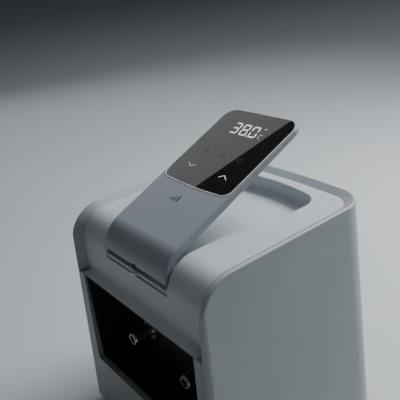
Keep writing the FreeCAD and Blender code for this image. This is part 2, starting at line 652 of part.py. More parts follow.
# ---------------------------------------------------------------- heater
hx_, hzz = S("port_x"), S("port_z")
hy0 = -33.0
hl = S("heater_length")
turned("heater_tube", [(d("spigot_bore"), -10), (d("spigot_radius"), -10), (d("spigot_radius"), 0), (d("heater_radius"), 0),
                       (d("heater_radius"), d("heater_length")), (d("heater_radius", 1, -4), d("heater_length")),
                       (d("heater_radius", 1, -4), d("heater_length", 1, -2)), (d("heater_radius", 1, -1.5), d("heater_length", 1, -2)),
                       (d("heater_radius", 1, -1.5), 2), (d("spigot_bore"), 2)], along_y(hx_, hy0, hzz))
turned("heater_element", [(0, 0), (5.0, 0), (5.0, 58.0), (12.9, 58.0), (12.9, 62.0), (6.0, 62.0), (6.0, 72.0), (0, 72.0)],
       along_y(hx_, hy0 + hl - 60.0, hzz))
node(cut(fuse([cyl(V(hx_, 28.0, hzz + 17.05), d("spigot_radius"), 15.0, Z), cyl(V(hx_, 28.0, hzz + 17.05), 9.0, 2.2, Z)]),
         cyl(V(hx_, 28.0, hzz + 10.0), d("spigot_bore"), 30.0, Z)), "heater_inlet")
node(fuse([cyl(V(hx_, -4.0, hzz + 17.1), 8.0, 4.0, Z), box(hx_ - 7.0, -6.0, hzz + 21.1, 3.0, 4.0, 7.0), box(hx_ + 4.0, -6.0, hzz + 21.1, 3.0, 4.0, 7.0)]), "thermal_cutout")
node(group([fuse([cyl(V(hx_ + 17.1, -22.0, hzz), 3.0, 3.0, X), cyl(V(hx_ + 20.0, -22.0, hzz), 1.6, 6.0, X)]),
            fuse([cyl(V(hx_ - 17.1, -22.0, hzz), 3.0, 3.0, X * -1), cyl(V(hx_ - 20.0, -22.0, hzz), 1.6, 6.0, X * -1)])]), "temperature_sensors")
saddles = []
for yy in (-24.0, 18.0):
    saddles.append(cut(box(hx_ - 15, yy, S("base_low") + S("base_thick") + 0.05, 30, 8.0, d("port_z", 1, -15.05)),
                       cyl(V(hx_, yy - 5, hzz), d("heater_radius", 1, 0.05), 20, Y)))
node(group(saddles), "heater_saddles")


# ---------------------------------------------------------------- hoses
def hose_path(pts, bend):
    edges = []
    prev = pts[0]
    for i in range(1, len(pts) - 1):
        a, b, c = pts[i - 1], pts[i], pts[i + 1]
        u, w = (a - b).normalize(), (c - b).normalize()
        half = math.acos(max(-1, min(1, u.dot(w)))) / 2
        t = bend / math.tan(half)
        p, q = b + u * t, b + w * t
        bis = (u + w).normalize()
        m = b + bis * (bend / math.sin(half) - bend)
        edges.append(Part.LineSegment(prev, p).toShape())
        edges.append(Part.Arc(p, m, q).toShape())
        prev = q
    edges.append(Part.LineSegment(prev, pts[-1]).toShape())
    return Part.Wire(edges)


def tube(pts, bend, ro, ri):
    out = []
    w = hose_path(pts, bend)
    for r in (ro, ri):
        c = Part.Wire(Part.Circle(pts[0], pts[1] - pts[0], r).toShape())
        out.append(w.makePipeShell([c], True, False))
    return out[0].cut(out[1])


ox, oy = px + 18.5, py + 11.0
h1 = tube([V(ox, oy, pz + 33.0), V(ox, oy, pz + 66.0), V(hx_, 28.0, pz + 66.0), V(hx_, 28.0, hzz + 21.0)], 16.0, S("hose_radius"), S("spigot_radius") + 0.05)
feature("heater_hose", h1)
inlet_link = Part.makeCylinder(7.6, 9.3, V(px, -47.4, pz), Y).cut(Part.makeCylinder(S("spigot_radius") + 0.05, 20, V(px, -50, pz), Y))
outlet_link = Part.makeCylinder(7.6, 14.3, V(hx_, -47.4, pz), Y).cut(Part.makeCylinder(S("spigot_radius") + 0.05, 20, V(hx_, -50, pz), Y))
feature("port_links", Part.makeCompound([inlet_link, outlet_link]))
clips = []
for c, z0 in ((V(ox, oy, 0), pz + 36.0), (V(hx_, 28.0, 0), hzz + 25.0)):
    clips.append(cut(cyl(V(c.x, c.y, z0), d("hose_radius", 1, 1.3), 6.0, Z), cyl(V(c.x, c.y, z0 - 1), d("hose_radius", 1, 0.05), 9.0, Z)))
node(group(clips), "hose_clamps")

# ---------------------------------------------------------------- base
bp = new_body("base_plate")
sk = new_sketch(bp, "XY_Plane")
bx = S("body_width") / 2 - S("draft_side") * zlow - 2.0
by_ = S("body_depth") / 2 - S("draft_front") * zlow - 2.0
rr, ring = 26.0, []
for i in range(7):
    a = math.radians(i * 15.0)
    ring.append((bx - rr + rr * math.cos(a), by_ - 5.4 - rr + rr * math.sin(a)))
ring.append((bx - rr - 22.0, by_ - 2.6))
poly(sk, [(-bx, -by_), (bx, -by_)] + ring + [(-a, b) for a, b in reversed(ring)])
pad(bp, sk, d("base_thick"))
soften(bp, 3.0, lambda e: upright(e) and e.BoundBox.YMax < -80)
sk = new_sketch(bp, "XY_Plane")
for sx in (-1, 1):
    for sy in (-1, 1):
        circle(sk, d("foot_inset_x", sx), d("foot_inset_y", sy), 1.8)
pocket(bp, sk, None, True)
sk = new_sketch(bp, "XY_Plane")
for i in range(7):
    rect(sk, -36.0 + 12.0 * i, 62.0, 2.0, 11.0)
pocket(bp, sk, None, True)
bp.Placement = Pl(V(0, 0, S("base_low")), Rot())
feet, screws = [], []
for sx in (-1, 1):
    for sy in (-1, 1):
        c = V(sx * S("foot_inset_x"), sy * S("foot_inset_y"), 0)
        cone = doc.addObject("Part::Cone", "foot")
        cone.Radius1 = S("foot_radius") - 1.5
        cone.Radius2 = S("foot_radius")
        tie(cone, "Radius2", d("foot_radius"))
        tie(cone, "Radius1", d("foot_radius", 1, -1.5))
        tie(cone, "Height", d("base_low", 1, -0.02))
        cone.Placement = Pl(c, Rot())
        feet.append(cut(cone, fuse([cyl(c + V(0, 0, -1), 4.4, 4.6, Z), cyl(c + V(0, 0, 3), 1.85, 5.0, Z)])))
        screws.append(fuse([cyl(c + V(0, 0, 1.4), 4.0, 2.15, Z), cyl(c + V(0, 0, 3.5), 1.55, 18.0, Z)]))
node(group(feet), "rubber_feet")
node(group(screws), "base_screws")

# ---------------------------------------------------------------- electronics
pb = new_body("power_board")
sk = new_sketch(pb, "XY_Plane")
rect(sk, 0, 0, 48.0, 44.0)
pad(pb, sk, d("board_thick"))
sk = new_sketch(pb, "XY_Plane")
for sx in (-1, 1):
    for sy in (-1, 1):
        circle(sk, 44.0 * sx, 40.0 * sy, 1.7)
pocket(pb, sk, None, True)
pb.Placement = Pl(V(76.0, 0, 128.0), Rot(V(0, 1, 0), -90))     # normal to -X, board upright
bxp = 76.0 - S("board_thick") - 0.05
comps = []
for (yy, zz, ly, lz, hx2) in ((-36, 148, 22, 18, 16), (-36, 122, 16, 16, 12), (-34, 96, 18, 14, 10), (0, 150, 16, 12, 9), (-6, 118, 26, 20, 14), (-4, 92, 20, 12, 9)):
    comps.append(box(bxp - hx2, yy, zz, hx2, ly, lz))
for (yy, zz, r, h) in ((28, 158, 5, 15), (28, 104, 4, 10), (28, 92, 4, 10)):
    comps.append(cyl(V(bxp, yy, zz), r, h, X * -1))
node(group(comps), "power_components")
hs = new_body("heat_sink")
sk = new_sketch(hs, "XY_Plane")
pts = [(-14.0, 0.0)]
for i in range(7):
    x0 = -14.0 + i * 4.3
    pts += [(x0, 14.0), (x0 + 1.6, 14.0), (x0 + 1.6, 3.0)]
    if i < 6:
        pts += [(x0 + 4.3, 3.0)]
pts[-1] = (pts[-1][0], 0.0)
poly(sk, pts)
pad(hs, sk, 34.0)
hs.Placement = Pl(V(bxp - 0.0, 36.0, 114.0), Rot(Z, 90))
std = []
for yy in (-40.0, 40.0):
    for zz in (84.0, 172.0):
        std.append(fuse([cyl(V(76.05, yy, zz), 3.6, 8.0, X), cyl(V(76.0 - 4.2, yy, zz), 1.55, 8.0, X), cyl(V(76.0 - 4.2, yy, zz), 3.0, 2.2, X)]))
node(group(std), "board_mounts")

# ---------------------------------------------------------------- fan and rear grille
fx, fz = -S("fan_x"), S("fan_z")
fy0 = 67.0
ff = new_body("fan_frame")
sk = new_sketch(ff, "XY_Plane")
rect(sk, 0, 0, d("fan_size", 0.5), d("fan_size", 0.5))
pad(ff, sk, d("fan_depth"))
soften(ff, 4.0, upright)
sk = new_sketch(ff, "XY_Plane")
circle(sk, 0, 0, d("fan_size", 0.5, -1.5))
pocket(ff, sk, None, True)
ff.Placement = along_y(fx, fy0, fz)
sp = fuse([cyl(V(fx, fy0 + 0.2, fz), 12.5, 1.6, Y)] + [
    box(-1.4, 0, 0, 2.8, 1.6, 28.4, Pl(V(fx, fy0 + 0.2, fz), Rot(Y, a))) for a in (45, 135, 225, 315)] + [cyl(V(fx, fy0 + 1.0, fz), 5.0, 7.0, Y)])
sp2 = cut(sp, cyl(V(fx, fy0 + 2.4, fz), 1.55, 12.0, Y))
node(sp2, "fan_hub_mount")
fan = Part.makeCylinder(11.5, 9.5).cut(Part.makeCylinder(10.2, 8.0, V(0, 0, -0.5))).fuse(Part.makeCylinder(1.5, 10.0, V(0, 0, -1.0)))
for i in range(7):
    w = path((10.8, -1.2), [((18.0, 0.8), (27.0, 6.0)), ((26.2, 7.2),), ((17.5, 2.6), (10.8, 0.6)), ((10.8, -1.2),)], lambda p: V(p[0], p[1], 0.6))
    b = Part.Face(w).extrude(V(0, 0, 7.6))
    b.rotate(V(), Z, 360.0 / 7 * i)
    fan = fan.fuse(b)
feature("fan_rotor", fan.common(Part.makeCylinder(27.3, 20, V(0, 0, -2))).removeSplitter(), along_y(fx, fy0 + 4.0, fz))
gr = new_body("rear_grille")
sk = new_sketch(gr, "XY_Plane")
rect(sk, 0, 0, 30.0, 30.0)
pad(gr, sk, 1.8)
soften(gr, 4.0, upright)
sk = new_sketch(gr, "XY_Plane")
for i in range(7):
    zz = -21.0 + 7.0 * i
    hw = math.sqrt(max(4.0, 25.5 ** 2 - (abs(zz) + 2.0) ** 2))
    rect(sk, 0, zz, hw, 2.0)
pocket(gr, sk, None, True)
gr.Placement = along_y(fx, fy0 + S("fan_depth") + 0.1, fz)

# ---------------------------------------------------------------- mains inlet and switch
iz = S("inlet_z")
rp = new_body("rear_panel")
sk = new_sketch(rp, "XY_Plane")
rect(sk, 0, 0, 56.5, 19.0)
pad(rp, sk, 2.0)
sk = new_sketch(rp, "XY_Plane")
rect(sk, 24.0, 0, 14.4, 10.4)
rect(sk, -26.0, 0, 11.3, 9.3)
pocket(rp, sk, None, True)
sk = new_sketch(rp, "XY_Plane")
circle(sk, 4.0, 0, 1.6)
circle(sk, 44.0, 0, 1.6)
circle(sk, -48.0, 0, 1.6)
pocket(rp, sk, None, True)
rp.Placement = along_y(0, 86.4, iz)
mi_ = new_body("mains_inlet")
sk = new_sketch(mi_, "XY_Plane")
poly(sk, [(-25.0, 0.0), (-19.0, -11.5), (19.0, -11.5), (25.0, 0.0), (19.0, 11.5), (-19.0, 11.5)])
pad(mi_, sk, 2.2)
sk = new_sketch(mi_, "XY_Plane")
rect(sk, 0, 0, 14.1, 10.1)
pad(mi_, sk, 24.0, True)
sk = new_sketch(mi_, "XY_Plane", Pl(V(0, 0, 2.2), Rot()))
poly(sk, [(-12.2, 8.3), (-12.2, -4.6), (-8.4, -8.3), (8.4, -8.3), (12.2, -4.6), (12.2, 8.3)])
pocket(mi_, sk, 18.0)
sk = new_sketch(mi_, "XY_Plane", Pl(V(0, 0, 2.2), Rot()))
circle(sk, -20.0, 0, 1.6)
circle(sk, 20.0, 0, 1.6)
pocket(mi_, sk, 2.2)
mi_.Placement = Pl(V(24.0, 88.45, iz), Rot(X, -90))
pins = []
for (dx, dz) in ((-7.0, -2.0), (0.0, 2.0), (7.0, -2.0)):
    pins.append(box(24.0 + dx - 1.0, 64.0 + 0.0, iz + dz - 2.0, 2.0, 22.0, 4.0))
node(group(pins), "inlet_pins")
sf = new_body("switch_frame")
sk = new_sketch(sf, "XY_Plane")
rect(sk, 0, 0, 14.0, 11.5)
pad(sf, sk, 2.2)
soften(sf, 1.5, upright)
sk = new_sketch(sf, "XY_Plane")
rect(sk, 0, 0, 11.0, 9.0)
pad(sf, sk, 18.0, True)
sk = new_sketch(sf, "XY_Plane", Pl(V(0, 0, 2.2), Rot()))
rect(sk, 0, 0, 9.4, 7.4)
pocket(sf, sk, 14.0)
sk = new_sketch(sf, "YZ_Plane", Pl(V(0, 0, -11.0), Rot()))
circle(sk, 0, d("rocker_pivot", 1, -88.45), d("rocker_pin", 1, 0.05))
pocket(sf, sk, 22.0)
sf.Placement = along_y(-26.0, 88.45, iz)
# rocker: turns about X, rests with its lower half pressed
rk = slab_yz((5.4, 6.4), [((4.3, 0.0), (5.4, -6.4)), ((1.5, -6.4),), ((-3.0, -2.0),), ((-3.0, 2.0),), ((1.5, 6.4),), ((5.4, 6.4),)], -9.1, 9.1)
rk = rk.fuse(Part.makeCylinder(S("rocker_pin"), 20.8, V(-10.4, 0, 0), X)).removeSplitter()
feature("power_rocker", rk, Pl(V(-26.0, S("rocker_pivot"), iz), Rot(X, -9)))
rs = []
for xx in (4.0, 44.0):
    rs.append(fuse([cyl(V(xx, 90.7, iz), 2.9, 1.6, Y), cyl(V(xx, 82.0, iz), 1.5, 9.0, Y)]))
rs.append(fuse([cyl(V(-48.0, 88.45, iz), 2.9, 1.6, Y), cyl(V(-48.0, 82.0, iz), 1.5, 7.0, Y)]))
node(group(rs), "rear_screws")

# ---------------------------------------------------------------- display arm
al = math.radians(S("arm_tilt"))
Rb = S("arm_bend")
cyb, czb = -S("arm_face") + Rb, -19.4
y0 = cyb + Rb * math.cos(math.pi / 2 + al)
z0 = czb + Rb * math.sin(math.pi / 2 + al)
AL = S("arm_length")
u = (math.cos(al), math.sin(al))
nrm = (-math.sin(al), math.cos(al))
tt, tr = S("arm_tip_thick"), S("arm_root_thick")


def on(s, h):
    """point on the arm's side view: s along the straight, h along the outward normal"""
    return (y0 + u[0] * s + nrm[0] * h, z0 + u[1] * s + nrm[1] * h)


def arm_profile(o, i_tip, i_root, s_end, foot, face_in):
    """closed side profile between depth o and the inner depths, ending at s_end; foot is its lower end"""
    ro, ri = Rb - o, Rb - i_root
    am = (math.pi + math.pi / 2 + al) / 2
    outer_mid = (cyb + ro * math.cos(am), czb + ro * math.sin(am))
    inner_mid = (cyb + ri * math.cos(am), czb + ri * math.sin(am))
    segs = [((cyb - ro, czb),), (outer_mid, on(0, -o)), (on(s_end, -o),), (on(s_end, -i_tip),), (on(0, -i_root),),
            (inner_mid, (cyb - ri, czb)), ((cyb - ri, foot),), ((cyb - ro, foot),)]
    return U((cyb - ro, foot)), up(segs)


armO = slab_yz(*(arm_profile(0.0, tt, tr, AL, -S("arm_foot_drop"), 0) + (-60.0, 60.0)))
ht_, hr_ = S("arm_half_tip"), S("arm_half_root")
cr = S("arm_corner")
ARM = Pl(V(0, y0, z0 + HT), Rot(X, S("arm_tilt")))


def arm_outline(inset, r, s_lo, s_hi, h0, h1, bow=0.0, r_lo=0.0):
    """plan outline in the arm's own plane, tapering from tip to root, extruded from h0 to h1"""
    slope = (ht_ - hr_) / AL
    hw = lambda s: hr_ + slope * s - inset
    th = math.atan(slope)
    a, b = hw(s_lo), hw(s_hi)
    conv = lambda p: V(p[0], p[1], h0)
    # tangent points of the corner arcs at the far end
    k1 = math.pi / 2 - th
    cxx = hw(s_hi - r) - r / math.cos(th) + r * math.tan(th) * 0
    cyy = s_hi - r
    p1 = (cxx + r * math.cos(-th), cyy + r * math.sin(-th))
    p2 = (cxx, s_hi)
    m = (cxx + r * math.cos(math.pi / 4 - th / 2), cyy + r * math.sin(math.pi / 4 - th / 2))
    if r_lo > 0:
        c2x = hw(s_lo + r_lo) - r_lo
        q1 = (c2x + r_lo * math.cos(-th), s_lo + r_lo + bow + r_lo * math.sin(-th))
        q2 = (c2x, s_lo + bow)
        qm = (c2x + r_lo * math.cos(-math.pi / 4), s_lo + r_lo + bow + r_lo * math.sin(-math.pi / 4))
        segs = [((0.0, s_lo), q2), (qm, q1), (p1,), (m, p2), ((-p2[0], p2[1]),), ((-m[0], m[1]), (-p1[0], p1[1])),
                ((-q1[0], q1[1]),), ((-qm[0], qm[1]), (-q2[0], q2[1]))]
        return Part.Face(path((-q2[0], q2[1]), segs, conv)).extrude(V(0, 0, h1 - h0))
    segs = [((a, s_lo),), (p1,), (m, p2), ((-p2[0], p2[1]),), ((-m[0], m[1]), (-p1[0], p1[1])), ((-a, s_lo),)]
    return Part.Face(path((-a, s_lo), segs, conv)).extrude(V(0, 0, h1 - h0))


def to_arm(shape):
    s = shape.copy()
    s.Placement = ARM
    return s


outl = to_arm(arm_outline(0.0, cr, -60.0, AL, -60, 60))
armO = armO.common(outl)
# the underside is bevelled all round, so the arm's edge looks thin
under_edges = []
for e in armO.Edges:
    c = e.CenterOfMass
    s_ = (c.y - y0) * u[0] + (c.z - HT - z0) * u[1]
    h_ = (c.y - y0) * nrm[0] + (c.z - HT - z0) * nrm[1]
    if s_ > 2 and h_ < -4.0 and e.Length > 12:
        under_edges.append(e)
bevelled = armO.makeChamfer(2.3, under_edges)
if bevelled.isValid() and bevelled.Volume < armO.Volume:
    armO = bevelled.Solids[0]
else:
    raise RuntimeError("the bevel under the arm failed")
cav_w = S("arm_wall")
top_w = 2.6
# the hollow is open to the underside along the straight, closed round the foot
hollow = to_arm(arm_outline(cav_w, cr - cav_w, 6.0, AL - cav_w, -40.0, -top_w))
lid_step = to_arm(arm_outline(cav_w - 1.0, cr - cav_w + 1.0, 5.0, AL - cav_w + 1.0, -40.0, 0.0))
under = slab_yz(U(on(-5, -tr - 1.0)), up([(on(0, -tr + 1.8),), (on(AL, -tt + 1.8),), (on(AL + 5, -tt - 20.0),), (on(-5, -40.0),), (on(-5, -tr - 1.0),)]), -60, 60)
glass_lo = AL - 2.25 - S("glass_length")
seat = to_arm(arm_outline(1.35, cr - 1.35, glass_lo - 0.9, AL - 1.35, -S("glass_thick") - 0.1, 5.0, 1.2, 8.9))
win = to_arm(arm_outline(7.0, 8.0, glass_lo + 5.0, AL - 7.0, -10.0, 5.0))
shaft_bore = Part.makeCylinder(S("shaft_radius") + 0.01, 140, V(-70, hy, hz), X)
barrel = Part.makeCylinder(4.0, 2 * hr_ - 0.6, V(-hr_ + 0.3, hy, hz), X)
solid = armO
try:
    ed = []
    for e in solid.Edges:
        c = e.CenterOfMass if hasattr(e, "CenterOfMass") else e.BoundBox.Center
        rel = (c.y - y0, c.z - HT - z0)
        s_ = rel[0] * u[0] + rel[1] * u[1]
        h_ = rel[0] * nrm[0] + rel[1] * nrm[1]
        if e.BoundBox.ZMax > HT - 21.9 and s_ > -24:
            if abs(c.x) > 30 or s_ > AL - 20:
                ed.append(e)
    top_e = [e for e in ed if True]
    lows, highs = [], []
    for e in top_e:
        c = e.CenterOfMass
        rel = (c.y - y0, c.z - HT - z0)
        s_ = rel[0] * u[0] + rel[1] * u[1]
        h_ = rel[0] * nrm[0] + rel[1] * nrm[1]
        if s_ > 2 and h_ > -1.0:
            highs.append(e)
        elif s_ > 2 and h_ < -4.0 and e.Length > 12:
            lows.append(e)
    f = solid.makeFillet(1.2, highs)
    if f.isValid():
        solid = f
    else:
        print("arm top fillet not valid")
except Exception as ex:
    print("arm fillet skipped", ex)
notch = Part.makeCylinder(3.2, 30, V(0, -90, HT - S("arm_foot_drop") - 1.2), Y)
shell = solid.cut(hollow.cut(slab_yz(U(on(-40, -60)), up([(on(-40, 60),), (on(12.0, 60),), (on(12.0, -60),), (on(-40, -60),)]), -80, 80)))
slope_u = (tr - tt) / AL
post_at = [(sx * (33.0 if ss < 50 else 35.0), ss) for sx in (-1, 1) for ss in (14.0, AL - 14.0)]
shell = shell.cut(lid_step.common(under)).cut(seat).cut(win)
pst = []
for a, ss in post_at:
    hgt = tr - slope_u * ss - 2.0 - 2.0
    pst.append(to_arm(Part.makeCylinder(2.7, hgt, V(a, ss, -2.0 - hgt), Z).cut(Part.makeCylinder(1.2, hgt - 0.6, V(a, ss, -2.0 - hgt), Z))))
shell = shell.fuse([barrel] + pst).cut([shaft_bore, notch])
feature("arm_shell", shell.removeSplitter())
lid = armO.common(to_arm(arm_outline(cav_w - 0.9, cr - cav_w + 0.9, 5.1, AL - cav_w + 0.9, -40.0, 0.0))).common(
    slab_yz(U(on(-5, -tr - 1.0)), up([(on(0, -tr + 1.7),), (on(AL, -tt + 1.7),), (on(AL + 5, -tt - 20.0),), (on(-5, -40.0),), (on(-5, -tr - 1.0),)]), -60, 60))
screws, holes = [], []
for a, ss in post_at:
    depth = tr - slope_u * ss
    b0 = V(a, ss, -depth)
    holes.append(to_arm(Part.makeCylinder(1.25, 6, b0 + V(0, 0, -2), Z)))
    holes.append(to_arm(Part.makeCylinder(2.35, 3.05, b0 + V(0, 0, -2.2), Z)))
    screws.append(to_arm(Part.makeCylinder(2.2, 0.9, b0 + V(0, 0, -0.1), Z).fuse(Part.makeCylinder(1.15, 2.3, b0 + V(0, 0, 0.7), Z))))
feature("arm_back_cover", lid.cut(holes).removeSplitter())
feature("arm_screws", Part.makeCompound(screws))
g0 = -S("glass_thick")
feature("bezel_ring", arm_outline(1.4, cr - 1.4, glass_lo - 0.85, AL - 1.4, g0, 0.25, 1.2, 8.85).cut(
    arm_outline(2.15, cr - 2.15, glass_lo - 0.1, AL - 2.15, g0 - 1, 1.0, 1.2, 8.1)), ARM)
feature("glass_lens", arm_outline(2.25, cr - 2.25, glass_lo, AL - 2.25, g0, 0.05, 1.2, 8.0), ARM)
db = new_body("display_board")
sk = new_sketch(db, "XY_Plane")
rect(sk, 0, 0, 30.0, 40.0)
pad(db, sk, 1.2)
soften(db, 8.0, upright)
mid_s = AL - 2.25 - S("glass_length") / 2
db.Placement = ARM.multiply(Pl(V(0, mid_s + 1.0, -top_w - 1.35), Rot()))
seg_s = AL - 23.0
node(group([box(-20.0, seg_s - 7.5, -2.55, 40.0, 15.0, 1.35, ARM)]), "led_module")
tp_ = []
for sx in (-1, 1):
    tp_.append(cyl(V(sx * 21.0, AL - 74.0, -2.55), 4.0, 1.35, Z, ARM))
node(group(tp_), "touch_pads")
hs_ = new_body("hinge_shaft")
sk = new_sketch(hs_, "XY_Plane")
circle(sk, 0, 0, d("shaft_radius"))
pad(hs_, sk, 103.0)
hs_.Placement = Pl(V(-51.5, hy, hz), Rot(Y, 90))
br = []
for sx in (-1, 1):
    x0 = 47.2 if sx > 0 else -49.7
    br.append(cut(box(x0, hy - 3.4, hz - 6.0, 2.5, 16.0, 10.4), cyl(V(x0 - 1, hy, hz), d("shaft_radius", 1, 0.05), 5.0, X)))
node(group(br), "hinge_brackets")
fw = []
for sx in (-1, 1):
    x0 = 46.0 if sx > 0 else -47.0
    fw.append(cut(cyl(V(x0, hy, hz), 3.4, 1.0, X), cyl(V(x0 - 1, hy, hz), d("shaft_radius", 1, 0.05), 5.0, X)))
node(group(fw), "friction_washers")
ec = []
for sx in (-1, 1):
    x0 = 50.0 if sx > 0 else -50.8
    ec.append(cut(cyl(V(x0, hy, hz), 3.4, 0.8, X), cyl(V(x0 - 1, hy, hz), d("shaft_radius"), 5.0, X)))
node(group(ec), "retaining_rings")

# ---------------------------------------------------------------- release button
fyn = front1(-S("nub_drop"))
rb_ = fuse([box(-S("nub_width") / 2, fyn - 1.5, nubz - S("nub_height") / 2, d("nub_width"), 6.0, d("nub_height")),
            box(-6.0, fyn + 4.3, nubz - 2.6, 12.0, 1.8, 5.2), cyl(V(0, fyn + 6.0, nubz), 1.2, 4.0, Y)])
node(rb_, "release_button")
hel = Part.makeHelix(1.3, 6.5, 2.2)
sw = Part.Wire(hel.Edges)
prof = Part.Wire(Part.Circle(V(2.2, 0, 0), V(0, 1, 0), 0.3).toShape())
spring = sw.makePipeShell([prof], True, True)
if spring.ShapeType != "Solid":
    spring = spring.Solids[0]
feature("button_spring", spring, along_y(0, fyn + 6.5, nubz))
fr = fuse([box(-8.0, fyn + 13.5, nubz - 4.5, 16.0, 1.5, 9.0), cyl(V(0, fyn + 11.6, nubz), 1.2, 2.0, Y)])
node(fr, "button_bracket")

# ---------------------------------------------------------------- check and write
doc.recompute()
bad = []
for o in doc.Objects:
    if any(w in str(o.State) for w in ("Invalid", "Error")):
        bad.append("%s %s" % (o.Name, o.State))
for label, o in NODES:
    if o.Shape.isNull() or not o.Shape.isValid() or len(o.Shape.Solids) == 0 or o.Shape.Volume <= 0:
        bad.append("%s has no valid solid" % label)
if bad:
    raise RuntimeError("; ".join(bad))
os.makedirs("parts", exist_ok=True)
for old in os.listdir("parts"):
    if old.endswith(".step") and old[:-5] not in [n for n, o in NODES]:
        os.remove(os.path.join("parts", old))
for label, o in NODES:
    o.Shape.exportStep(os.path.join("parts", label + ".step"))
    bb = o.Shape.BoundBox
    print("%-20s solids %d vol %9.1f  x %.1f..%.1f y %.1f..%.1f z %.1f..%.1f" % (
        label, len(o.Shape.Solids), o.Shape.Volume, bb.XMin, bb.XMax, bb.YMin, bb.YMax, bb.ZMin, bb.ZMax))
print("nodes", len(NODES))
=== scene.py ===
import bpy, bmesh, math, json
from mathutils import Vector, Matrix


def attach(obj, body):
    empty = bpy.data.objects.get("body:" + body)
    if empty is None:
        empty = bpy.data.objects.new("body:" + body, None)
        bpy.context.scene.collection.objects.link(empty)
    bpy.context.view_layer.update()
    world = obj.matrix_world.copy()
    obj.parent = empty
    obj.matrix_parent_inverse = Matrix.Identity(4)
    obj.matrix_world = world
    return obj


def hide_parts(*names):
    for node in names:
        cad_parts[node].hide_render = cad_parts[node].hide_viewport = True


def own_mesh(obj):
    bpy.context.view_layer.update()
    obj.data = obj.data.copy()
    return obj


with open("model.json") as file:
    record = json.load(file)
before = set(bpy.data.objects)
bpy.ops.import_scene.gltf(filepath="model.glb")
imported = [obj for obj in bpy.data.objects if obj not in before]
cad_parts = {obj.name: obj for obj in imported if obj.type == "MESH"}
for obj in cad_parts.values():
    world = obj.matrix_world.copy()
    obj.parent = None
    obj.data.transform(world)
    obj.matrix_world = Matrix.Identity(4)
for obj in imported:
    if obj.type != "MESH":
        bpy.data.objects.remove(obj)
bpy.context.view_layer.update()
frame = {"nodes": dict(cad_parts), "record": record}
MM = 0.001

# ------------------------------------------------------------------ camera
AZ, EL, ROLL = 0.946, 0.4198, -0.1208
W = 0.180
RIM = 0.210
fwd = Vector((-math.sin(AZ) * math.cos(EL), math.cos(AZ) * math.cos(EL), -math.sin(EL)))
right = Vector((math.cos(AZ), math.sin(AZ), 0.0))
upv = right.cross(fwd)
r2 = math.cos(ROLL) * right + math.sin(ROLL) * upv
u2 = -math.sin(ROLL) * right + math.cos(ROLL) * upv
cd = bpy.data.cameras.new("camera")
cd.sensor_width = 36.0
cd.lens = 36.0 * 551.44 / 400.0
cd.clip_start = 0.01
cd.clip_end = 50.0
cam = bpy.data.objects.new("camera", cd)
bpy.context.collection.objects.link(cam)
m = Matrix((r2, u2, -fwd)).transposed().to_4x4()
m.translation = Vector((1.8157 * W, -1.3812 * W, 1.042 * W + RIM))
cam.matrix_world = m
bpy.context.scene.camera = cam


# ------------------------------------------------------------------ materials
def new_mat(name):
    mt = bpy.data.materials.new(name)
    mt.use_nodes = True
    nt = mt.node_tree
    for n in list(nt.nodes):
        nt.nodes.remove(n)
    out = nt.nodes.new("ShaderNodeOutputMaterial")
    b = nt.nodes.new("ShaderNodeBsdfPrincipled")
    nt.links.new(b.outputs["BSDF"], out.inputs["Surface"])
    return mt, nt, b


def coords(nt, scale=(1, 1, 1)):
    tc = nt.nodes.new("ShaderNodeTexCoord")
    mp = nt.nodes.new("ShaderNodeMapping")
    mp.inputs["Scale"].default_value = scale
    nt.links.new(tc.outputs["Object"], mp.inputs["Vector"])
    return mp.outputs["Vector"]


def noise(nt, vec, scale, detail=3.0, rough=0.5):
    n = nt.nodes.new("ShaderNodeTexNoise")
    n.inputs["Scale"].default_value = scale
    n.inputs["Detail"].default_value = detail
    n.inputs["Roughness"].default_value = rough
    nt.links.new(vec, n.inputs["Vector"])
    return n.outputs["Fac"]


def ramp(nt, fac, stops):
    r = nt.nodes.new("ShaderNodeValToRGB")
    e = r.color_ramp.elements
    while len(e) < len(stops):
        e.new(0.5)
    for i, (p, c) in enumerate(stops):
        e[i].position = p
        e[i].color = (c[0], c[1], c[2], 1.0) if len(c) == 3 else c
    nt.links.new(fac, r.inputs["Fac"])
    return r.outputs["Color"]


def span(nt, fac, lo, hi):
    mr = nt.nodes.new("ShaderNodeMapRange")
    mr.inputs["From Min"].default_value = 0.25
    mr.inputs["From Max"].default_value = 0.75
    mr.inputs["To Min"].default_value = lo
    mr.inputs["To Max"].default_value = hi
    nt.links.new(fac, mr.inputs["Value"])
    return mr.outputs["Result"]


def bump(nt, b, fac, strength, dist):
    bp = nt.nodes.new("ShaderNodeBump")
    bp.inputs["Strength"].default_value = strength
    bp.inputs["Distance"].default_value = dist
    nt.links.new(fac, bp.inputs["Height"])
    nt.links.new(bp.outputs["Normal"], b.inputs["Normal"])


def plastic(name, col, rough=(0.42, 0.52), grain=2600.0, strength=0.18, spread=0.035, spec=0.5, metal=0.0):
    """moulded plastic: fine spark-eroded grain, slow colour and gloss drift"""
    mt, nt, b = new_mat(name)
    v = coords(nt)
    slow = noise(nt, v, 14.0, 2.0)
    c0 = tuple(max(0.0, x * (1 - spread)) for x in col)
    c1 = tuple(min(1.0, x * (1 + spread)) for x in col)
    nt.links.new(ramp(nt, slow, [(0.3, c0), (0.7, c1)]), b.inputs["Base Color"])
    fine = noise(nt, v, grain, 2.0, 0.6)
    mid = noise(nt, v, 180.0, 3.0)
    nt.links.new(span(nt, mid, rough[0], rough[1]), b.inputs["Roughness"])
    b.inputs["Specular IOR Level"].default_value = spec
    b.inputs["Metallic"].default_value = metal
    bump(nt, b, fine, strength, 0.00006)
    return mt


